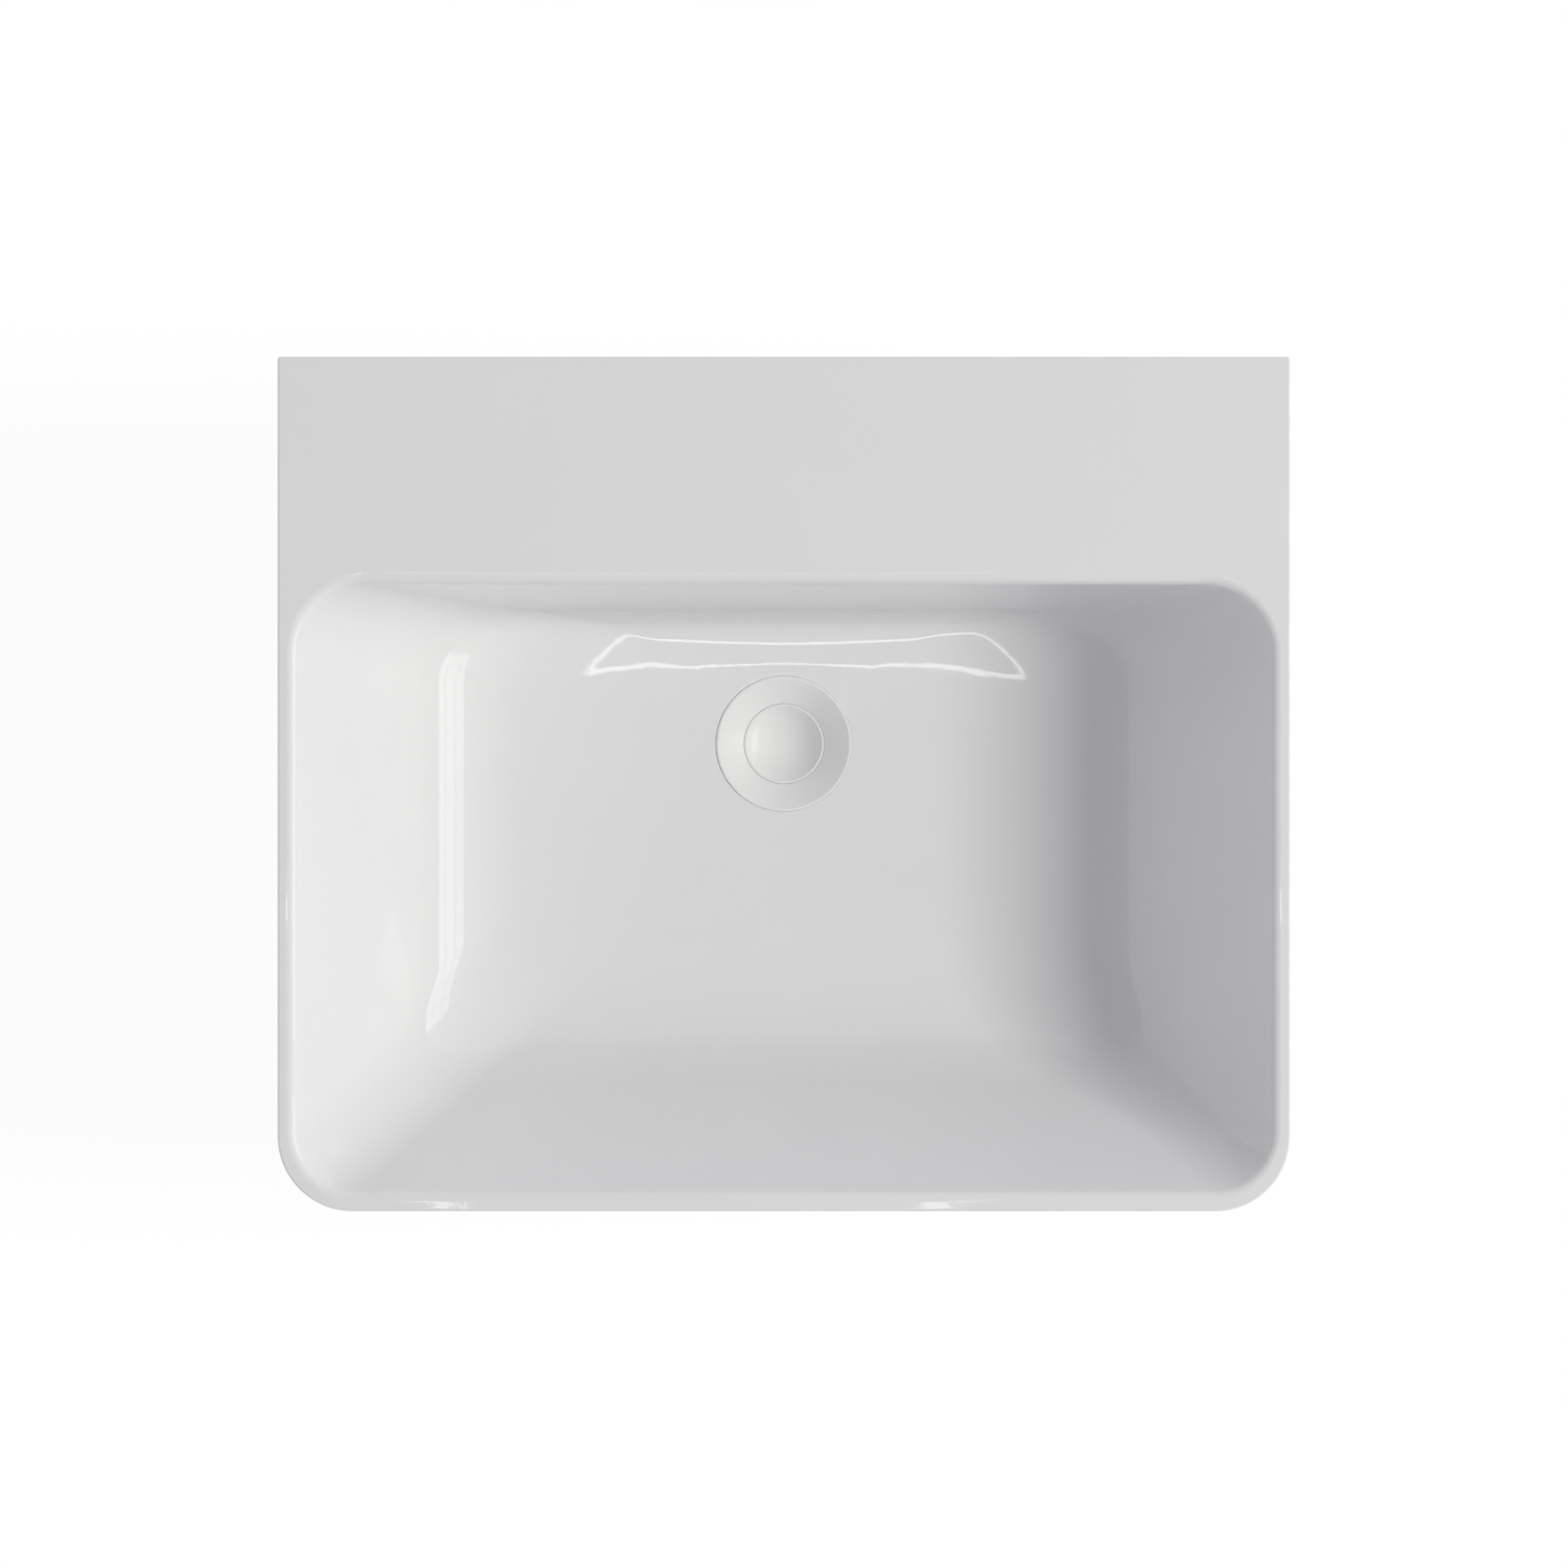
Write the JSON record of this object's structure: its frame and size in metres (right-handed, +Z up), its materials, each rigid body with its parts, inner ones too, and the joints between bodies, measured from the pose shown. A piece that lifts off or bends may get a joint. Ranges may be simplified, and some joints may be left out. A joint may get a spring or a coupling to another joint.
{
  "type": "vanity basin",
  "caption": "Rectangular glazed ceramic vanity basin with a wide bare rear deck, thin rolled rim, sloped bowl and a dished push-to-open waste.",
  "frame": {"origin": "middle of the back edge, on the plane of the apron's ground lower edge that rests on the cabinet", "axes": "+Z up, +Y towards the wall, +X to the right of a user who faces the basin"},
  "size_m": [0.5, 0.422, 0.2035],
  "materials": {
    "glaze": "glossy fired glaze",
    "white_coat": "gloss white coat on turned brass",
    "chrome": "polished plating on brass",
    "brass": "turned",
    "steel": "drawn stainless wire",
    "rubber": "moulded",
    "plastic": "moulded acetal"
  },
  "bodies": {
    "casting": {"basin": "glaze", "waste_flange": "white_coat", "flange_gasket": "rubber", "lower_seal": "rubber", "slip_washer": "plastic", "waste_body": "chrome", "cartridge_housing": "brass", "cartridge_nut": "brass", "cartridge_gland": "plastic", "cam_sleeve": "plastic", "plug_spring": "steel"},
    "plug": {"plug_cap": "white_coat", "plug_gasket": "rubber", "plug_stem": "brass", "cross_pin": "steel"}
  },
  "joints": [
    {"name": "plug_lift", "type": "slide", "parent": "casting", "child": "plug", "axis": [0, 0, 1], "range_m": [0, 0.0085], "deforming": ["plug_spring"]}
  ]
}
